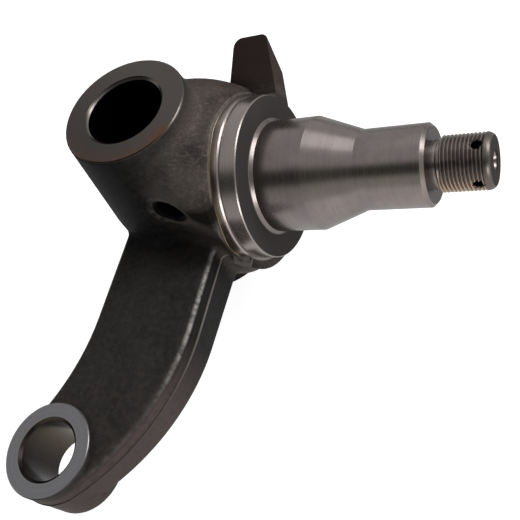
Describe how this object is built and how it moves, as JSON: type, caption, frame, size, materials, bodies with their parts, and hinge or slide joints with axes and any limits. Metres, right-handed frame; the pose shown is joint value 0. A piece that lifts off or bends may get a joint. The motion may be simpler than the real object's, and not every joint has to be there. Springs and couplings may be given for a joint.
{
  "type": "steering knuckle",
  "caption": "Forged steering knuckle with a bored king pin boss, a lifted stub axle stepped for two bearings, a threaded end, a side steering arm with an eye and a stop lug",
  "frame": {"origin": "the point where the stub axle's axis crosses the king pin's axis, halfway along the boss", "axes": "+Z runs along the king pin bore to the face that shows in the picture; +X leans toward the threaded end of the stub axle, which lies in the XZ plane and rises 6 degrees from X; +Y is the side of the stop lug, and the steering arm reaches toward -Y"},
  "size_m": [0.2447, 0.2704, 0.146],
  "materials": {
    "forged_steel": "satin"
  },
  "bodies": {
    "root": {"steering_knuckle": "forged_steel"}
  },
  "joints": []
}
